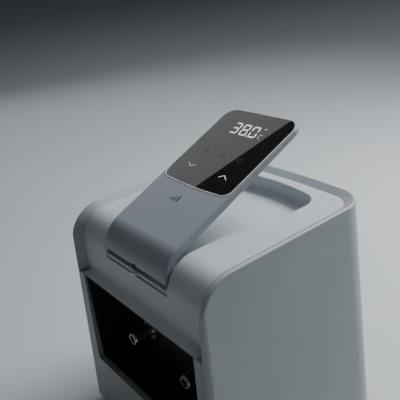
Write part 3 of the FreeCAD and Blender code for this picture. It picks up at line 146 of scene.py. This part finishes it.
def metal(name, col, rough=(0.25, 0.4), stretch=(1, 1, 1), strength=0.25, scale=900.0):
    mt, nt, b = new_mat(name)
    v = coords(nt, stretch)
    n = noise(nt, v, scale, 4.0, 0.65)
    c0 = tuple(x * 0.93 for x in col)
    nt.links.new(ramp(nt, n, [(0.35, c0), (0.65, col)]), b.inputs["Base Color"])
    nt.links.new(span(nt, n, rough[0], rough[1]), b.inputs["Roughness"])
    b.inputs["Metallic"].default_value = 1.0
    bump(nt, b, n, strength, 0.00004)
    return mt


def rubber(name, col, scale=700.0):
    mt, nt, b = new_mat(name)
    v = coords(nt)
    n = noise(nt, v, scale, 4.0, 0.6)
    s = noise(nt, v, 40.0, 2.0)
    c1 = tuple(min(1.0, x * 1.25 + 0.004) for x in col)
    nt.links.new(ramp(nt, s, [(0.35, col), (0.65, c1)]), b.inputs["Base Color"])
    nt.links.new(span(nt, n, 0.62, 0.85), b.inputs["Roughness"])
    bump(nt, b, n, 0.3, 0.00008)
    return mt


# case plastic: the cover's plastic painted darker, as painted shade on the shaded side walls
CASE_PAINTED_SHADE = plastic("case_plastic_painted_shade", (0.40, 0.43, 0.445), rough=(0.38, 0.47))
COVER = plastic("cover_plastic", (0.57, 0.60, 0.63), rough=(0.34, 0.43))
ARM = plastic("arm_satin", (0.34, 0.365, 0.40), rough=(0.33, 0.41), grain=3200.0, strength=0.12)
BLACK = plastic("black_plastic", (0.018, 0.018, 0.02), rough=(0.38, 0.52), grain=1800.0, strength=0.3)
DARK = plastic("pump_plastic", (0.05, 0.05, 0.055), rough=(0.45, 0.6), grain=900.0, strength=0.4)
# bezel: near white, a painted highlight along the rim edge around the glass
BEZEL_PAINTED_HIGHLIGHT = plastic("bezel_painted_highlight", (0.80, 0.83, 0.86), rough=(0.16, 0.24), grain=3000.0, strength=0.05)
# nub under the arm's foot: near white, a painted highlight standing in for the bright glint on it
NUB_PAINTED_HIGHLIGHT = plastic("nub_painted_highlight", (0.88, 0.91, 0.94), rough=(0.2, 0.28), grain=3000.0, strength=0.05)
STEEL = metal("stainless", (0.62, 0.62, 0.61), stretch=(1, 14, 1))
ZINC = metal("zinc_steel", (0.56, 0.57, 0.59), rough=(0.32, 0.48), scale=260.0)
ALU = metal("aluminium", (0.74, 0.75, 0.77), rough=(0.3, 0.42), stretch=(1, 1, 18))
BRASS = metal("bronze", (0.68, 0.48, 0.24), rough=(0.28, 0.42))
MAGNET = metal("ferrite", (0.09, 0.09, 0.095), rough=(0.45, 0.6))
RUBBER = rubber("rubber_black", (0.018, 0.018, 0.018))
SILICONE = rubber("silicone", (0.60, 0.61, 0.58), 300.0)
PCB = plastic("solder_mask", (0.015, 0.13, 0.05), rough=(0.25, 0.4), grain=700.0, strength=0.35, spread=0.15)
CHIP = plastic("component_body", (0.03, 0.03, 0.03), rough=(0.45, 0.6), grain=1200.0, strength=0.3, spread=0.2)


def glass_black():
    mt, nt, b = new_mat("display_glass")
    v = coords(nt)
    n = noise(nt, v, 30.0, 2.0)
    nt.links.new(ramp(nt, n, [(0.3, (0.004, 0.004, 0.005)), (0.7, (0.007, 0.007, 0.008))]), b.inputs["Base Color"])
    nt.links.new(span(nt, noise(nt, v, 90.0, 3.0), 0.008, 0.016), b.inputs["Roughness"])
    b.inputs["IOR"].default_value = 1.62
    b.inputs["Coat Weight"].default_value = 1.0
    b.inputs["Coat Roughness"].default_value = 0.006
    return mt


GLASS = glass_black()


def glow(name, col, power):
    mt, nt, b = new_mat(name)
    v = coords(nt)
    n = noise(nt, v, 420.0, 2.0)
    nt.links.new(ramp(nt, n, [(0.3, tuple(0.94 * c for c in col)), (0.7, col)]), b.inputs["Base Color"])
    nt.links.new(ramp(nt, n, [(0.3, tuple(0.94 * c for c in col)), (0.7, col)]), b.inputs["Emission Color"])
    b.inputs["Emission Strength"].default_value = power
    b.inputs["Roughness"].default_value = 0.3
    return mt


LED = glow("led_white", (0.90, 0.96, 1.0), 0.95)
LED_MID = glow("icon_lit", (0.85, 0.92, 1.0), 0.75)
LED_DIM = glow("icon_dim", (0.80, 0.88, 0.96), 0.22)
LED_OFF = plastic("icon_unlit", (0.035, 0.038, 0.042), rough=(0.3, 0.4), grain=2000.0, strength=0.05)
PRINT = plastic("printed_mark", (0.05, 0.055, 0.065), rough=(0.35, 0.45), grain=2000.0, strength=0.05)

BY_SLOT = {"case_grey": CASE_PAINTED_SHADE, "cover_grey": COVER, "black_plastic": BLACK, "bezel": BEZEL_PAINTED_HIGHLIGHT, "display_glass": GLASS,
           "stainless": STEEL, "zinc_steel": ZINC, "rubber_black": RUBBER, "silicone": SILICONE, "pump_plastic": DARK,
           "magnet": MAGNET, "bronze": BRASS, "board_green": PCB, "component": CHIP, "aluminium": ALU}
slots = {sp["node"]: sp["material_slot"] for sp in frame["record"]["subparts"]}
for n, o in frame["nodes"].items():
    mt = BY_SLOT[slots[n]]
    if n in ("arm_shell", "arm_back_cover"):
        mt = ARM
    if n == "release_button":
        mt = NUB_PAINTED_HIGHLIGHT
    o.data.materials.clear()
    o.data.materials.append(mt)

# ------------------------------------------------------------------ arm frame
TILT = math.radians(23.36)
BEND, FACE, CZ = 23.4, 81.0, -19.4
CY = -FACE + BEND
AY0 = CY + BEND * math.cos(math.pi / 2 + TILT)
AZ0 = CZ + BEND * math.sin(math.pi / 2 + TILT)
LEN = 143.5


def on_arm(x, from_tip, h=0.0):
    """millimetres on the arm's face: x to the right, from_tip down from the tip, h above the face"""
    s = LEN - from_tip
    y = AY0 + math.cos(TILT) * s - math.sin(TILT) * h
    z = AZ0 + math.sin(TILT) * s + math.cos(TILT) * h
    return Vector((x * MM, y * MM, z * MM + RIM))


def mesh_obj(name, verts, faces, mt, body, smooth=False):
    me = bpy.data.meshes.new(name)
    me.from_pydata([tuple(v) for v in verts], [], faces)
    me.update()
    if smooth:
        for p in me.polygons:
            p.use_smooth = True
    me.materials.append(mt)
    o = bpy.data.objects.new(name, me)
    bpy.context.collection.objects.link(o)
    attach(o, body)
    return o


def prisms(name, polys, h0, h1, mt):
    """flat closed shapes on the glass, given as lists of (x, from_tip)"""
    verts, faces = [], []
    for poly in polys:
        area = sum(poly[i][0] * poly[(i + 1) % len(poly)][1] - poly[(i + 1) % len(poly)][0] * poly[i][1] for i in range(len(poly)))
        p = list(poly) if area < 0 else list(poly)[::-1]
        n, b = len(p), len(verts)
        verts += [on_arm(x, t, h0) for x, t in p] + [on_arm(x, t, h1) for x, t in p]
        faces.append([b + i for i in range(n)][::-1])
        faces.append([b + n + i for i in range(n)])
        for i in range(n):
            j = (i + 1) % n
            faces.append([b + i, b + j, b + n + j, b + n + i])
    return mesh_obj(name, verts, faces, mt, "display_arm")


# seven-segment digits, laid over a slightly leaning cell
def digit(ch, tl, tr, br, bl, w=0.135):
    """cell corners as (x, from_tip)"""
    def P(a, b):
        top = (tl[0] + (tr[0] - tl[0]) * a, tl[1] + (tr[1] - tl[1]) * a)
        bot = (bl[0] + (br[0] - bl[0]) * a, bl[1] + (br[1] - bl[1]) * a)
        return (top[0] + (bot[0] - top[0]) * b, top[1] + (bot[1] - top[1]) * b)
    H = 12.8 / 8.3
    w2 = w / H
    g = 0.025

    def hor(b):
        c = b
        return [P(w * .35 + g, c), P(w + g, c - w2 / 2), P(1 - w - g, c - w2 / 2), P(1 - w * .35 - g, c), P(1 - w - g, c + w2 / 2), P(w + g, c + w2 / 2)]

    def ver(a, b0, b1):
        return [P(a, b0 + w2 * .35 + g), P(a + w / 2, b0 + w2 * .9 + g), P(a + w / 2, b1 - w2 * .9 - g), P(a, b1 - w2 * .35 - g), P(a - w / 2, b1 - w2 * .9 - g), P(a - w / 2, b0 + w2 * .9 + g)]
    seg = {"a": hor(w2 / 2), "g": hor(0.5), "d": hor(1 - w2 / 2), "f": ver(w / 2, 0.0, 0.5), "b": ver(1 - w / 2, 0.0, 0.5),
           "e": ver(w / 2, 0.5, 1.0), "c": ver(1 - w / 2, 0.5, 1.0)}
    on = {"3": "abgcd", "8": "abcdefg", "0": "abcdef"}[ch]
    return [seg[k] for k in on]


def ring_poly(cx, cy, r0, r1, n=20):
    out = []
    for i in range(n):
        a0, a1 = 2 * math.pi * i / n, 2 * math.pi * (i + 1) / n
        out.append([(cx + r1 * math.cos(a0), cy + r1 * math.sin(a0)), (cx + r1 * math.cos(a1), cy + r1 * math.sin(a1)),
                    (cx + r0 * math.cos(a1), cy + r0 * math.sin(a1)), (cx + r0 * math.cos(a0), cy + r0 * math.sin(a0))])
    return out


def stroke(pts, w):
    """polyline with mitred joints as quads"""
    out, L, R = [], [], []
    for i, p in enumerate(pts):
        a = Vector(pts[max(0, i - 1)])
        c = Vector(pts[min(len(pts) - 1, i + 1)])
        q = Vector(p)
        d1 = (q - a).normalized() if i > 0 else (c - q).normalized()
        d2 = (c - q).normalized() if i < len(pts) - 1 else d1
        t = (d1 + d2).normalized()
        n = Vector((-t.y, t.x))
        k = 1.0 / max(0.5, n.dot(Vector((-d1.y, d1.x))))
        L.append(q + n * w / 2 * k)
        R.append(q - n * w / 2 * k)
    for i in range(len(pts) - 1):
        out.append([tuple(L[i]), tuple(L[i + 1]), tuple(R[i + 1]), tuple(R[i])])
    return out


polys = digit("3", (-18.3, 16.8), (-10.6, 16.4), (-9.2, 29.3), (-16.9, 29.6))
polys += digit("8", (-7.4, 16.8), (0.3, 16.5), (1.8, 29.4), (-5.9, 29.8))
polys += digit("0", (3.5, 16.9), (11.2, 16.7), (12.7, 29.5), (5.0, 29.9))
polys.append([(2.7, 28.7), (3.7, 28.65), (3.8, 29.8), (2.8, 29.85)])
prisms("display_digits", polys, 0.06, 0.10, LED)
unit = ring_poly(16.3, 17.6, 0.55, 0.95)
arc = [(17.6 + 1.7 * math.cos(a), 26.6 + 2.5 * math.sin(a)) for a in [math.radians(x) for x in range(-55, -306, -18)]]
unit += stroke(arc, 0.42)
prisms("display_unit", unit, 0.06, 0.10, LED_DIM)
prisms("icon_down", stroke([(-25.8, 71.2), (-20.7, 74.7), (-15.9, 71.8)], 0.5), 0.06, 0.10, LED_DIM)
prisms("icon_up", stroke([(16.4, 76.0), (20.7, 72.7), (25.6, 76.4)], 0.45), 0.06, 0.10, LED_MID)
faint = ring_poly(-20.5, 54.5, 1.9, 2.4) + stroke([(-20.5, 51.6), (-20.5, 54.6)], 0.5)
faint += ring_poly(0.0, 54.5, 2.2, 2.7) + stroke([(0.0, 54.5), (0.0, 52.7)], 0.4) + stroke([(0.0, 54.5), (1.4, 54.5)], 0.4)
for k in range(3):
    faint += stroke([(18.2 + 2.3 * k + 0.6 * math.sin(t * 1.3), 51.8 + t) for t in [0, .9, 1.8, 2.7, 3.6, 4.5, 5.4]], 0.4)
prisms("unlit_icons", faint, 0.055, 0.08, LED_OFF)
# a plain generic mark printed on the arm: three short bars of rising length
mark = []
for k, ln in enumerate((3.0, 4.6, 6.2)):
    x0 = -7.0 + 3.4 * k
    mark.append([(x0, 110.6), (x0 + 1.7, 110.6), (x0 + 1.7, 110.6 - ln), (x0, 110.6 - ln)])
prisms("printed_mark", mark, 0.01, 0.04, PRINT)


def bead(name, pts, rad, mt, body, n=10):
    """a fine rounded edge line along points given in metres, closed at both ends"""
    verts, faces = [], []
    for i, p in enumerate(pts):
        t = (pts[min(i + 1, len(pts) - 1)] - pts[max(i - 1, 0)]).normalized()
        a = t.cross(Vector((0, 0, 1))).normalized()
        b = a.cross(t).normalized()
        k = 0.35 if i in (0, len(pts) - 1) else 1.0
        for j in range(n):
            w = 2 * math.pi * j / n
            verts.append(p + (a * math.cos(w) + b * math.sin(w)) * rad * k)
    for i in range(len(pts) - 1):
        for j in range(n):
            q = (j + 1) % n
            faces.append((i * n + j, i * n + q, (i + 1) * n + q, (i + 1) * n + j))
    faces.append(tuple(range(n))[::-1])
    faces.append(tuple((len(pts) - 1) * n + j for j in range(n)))
    o = mesh_obj(name, verts, faces, mt, body, smooth=True)
    bm = bmesh.new()
    bm.from_mesh(o.data)
    bmesh.ops.recalc_face_normals(bm, faces=bm.faces)
    bm.to_mesh(o.data)
    bm.free()
    return o


# the return spring behind the nub, copied into a mesh of its own and attached to the housing
src = frame["nodes"]["button_spring"]
sp = bpy.data.objects.new("nub_spring_coil", src.data.copy())
bpy.context.collection.objects.link(sp)
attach(sp, "housing")
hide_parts("button_spring")
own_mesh(sp)

# rounded lower edge of the shallow step under the arm's foot, coloured lighter than the cover as a painted highlight
# along the edge
EDGE_PAINTED_HIGHLIGHT = plastic("edge_painted_highlight", (0.74, 0.77, 0.80), rough=(0.28, 0.36), grain=2600.0, strength=0.08)
zc_ = RIM - 0.0306
yc_ = (-88.5 + 7.5 - 0.039 * 30.6) * MM
xs = [-42.3, -41.8, -20, 0, 20, 41.8, 42.3]
bead("foot_step_edge", [Vector((x * MM, yc_ + 0.0001, zc_ - 0.0001)) for x in xs], 0.00042, EDGE_PAINTED_HIGHLIGHT, "housing")

# ------------------------------------------------------------------ studio
def stage_mat(name, col, rough):
    mt, nt, b = new_mat(name)
    v = coords(nt)
    n = noise(nt, v, 3.0, 3.0)
    nt.links.new(ramp(nt, n, [(0.3, tuple(c * 0.98 for c in col)), (0.7, col)]), b.inputs["Base Color"])
    b.inputs["Roughness"].default_value = rough
    return mt


me = bpy.data.meshes.new("floor")
R = 16.0
rings = [0.0, 0.4, 1.2, 3.0, 7.0, R]
vv, ff, N = [(0.0, 0.0, 0.0)], [], 48
for r in rings[1:]:
    vv += [(r * math.cos(2 * math.pi * k / N), r * math.sin(2 * math.pi * k / N), 0.0) for k in range(N)]
for k in range(N):
    ff.append((0, 1 + k, 1 + (k + 1) % N))
for q in range(len(rings) - 2):
    for k in range(N):
        a, b = 1 + q * N + k, 1 + q * N + (k + 1) % N
        ff.append((a, a + N, b + N, b))
me.from_pydata(vv, [], ff)
me.materials.append(stage_mat("floor_pale", (0.62, 0.635, 0.65), 0.8))
floor = bpy.data.objects.new("floor", me)
bpy.context.collection.objects.link(floor)

world = bpy.data.worlds.new("studio")
bpy.context.scene.world = world
world.use_nodes = True
bg = world.node_tree.nodes["Background"]
bg.inputs["Color"].default_value = (0.86, 0.93, 1.0, 1.0)
bg.inputs["Strength"].default_value = 0.05


def area(name, loc, aim, size, power, col=(1, 1, 1), size_y=None, along=None):
    """a soft box at loc facing aim; along is the direction of its first side"""
    ld = bpy.data.lights.new(name, "AREA")
    ld.energy = power
    ld.color = col
    ld.size = size
    if size_y:
        ld.shape = "RECTANGLE"
        ld.size_y = size_y
    o = bpy.data.objects.new(name, ld)
    bpy.context.collection.objects.link(o)
    z = (Vector(loc) - Vector(aim)).normalized()
    x = Vector(along).normalized() if along else Vector((0, 0, 1)).cross(z).normalized()
    x = (x - z * x.dot(z)).normalized()
    mw = Matrix((x, z.cross(x), z)).transposed().to_4x4()
    mw.translation = Vector(loc)
    o.matrix_world = mw
    return o


# main soft box, high behind the object and to its left
area("soft_key", (0.13, 0.74, 0.86), (0.02, 0.05, 0.2), 0.45, 13.5, (0.93, 0.97, 1.0))
# broad overhead light for the floor and the whole object
area("soft_top", (0.2, 1.2, 3.0), (0, 0.4, 0), 2.6, 22.0, (0.93, 0.97, 1.0))
# soft box on the left: it lights the crest and shows as a straight-edged reflection in the glass
nrm = Vector((0, -math.sin(TILT), math.cos(TILT)))
eye = cam.matrix_world.translation


def bounce(x, t, dist, n_card, q_card):
    p = on_arm(x, t, 0.05)
    d = (p - eye).normalized()
    r = d - 2 * d.dot(nrm) * nrm
    return p + r * ((q_card - p).dot(n_card) / r.dot(n_card))


p0 = on_arm(8.0, 48.0, 0.05)
d0 = (p0 - eye).normalized()
r0 = (d0 - 2 * d0.dot(nrm) * nrm).normalized()
q0 = p0 + 1.25 * r0
ea, eb, el_ = bounce(4.1, 92.7, 0, r0, q0), bounce(30.6, 3.4, 0, r0, q0), bounce(-35.0, 50.0, 0, r0, q0)
edge = (eb - ea).normalized()
side = (el_ - ea) - edge * (el_ - ea).dot(edge)
side.normalize()
mid = (ea + eb) / 2
CW, CH = 1.5, 1.0
centre = mid + side * CH / 2
area("soft_card", centre, centre - r0, CW, 2.7, (0.93, 0.97, 1.0), CH, along=edge)
# weak fill from the front, low, so that the shaded faces keep their form
area("soft_fill", (-0.9, -1.6, 0.7), (0, 0, 0.12), 1.2, 0.6, (0.92, 0.96, 1.0))
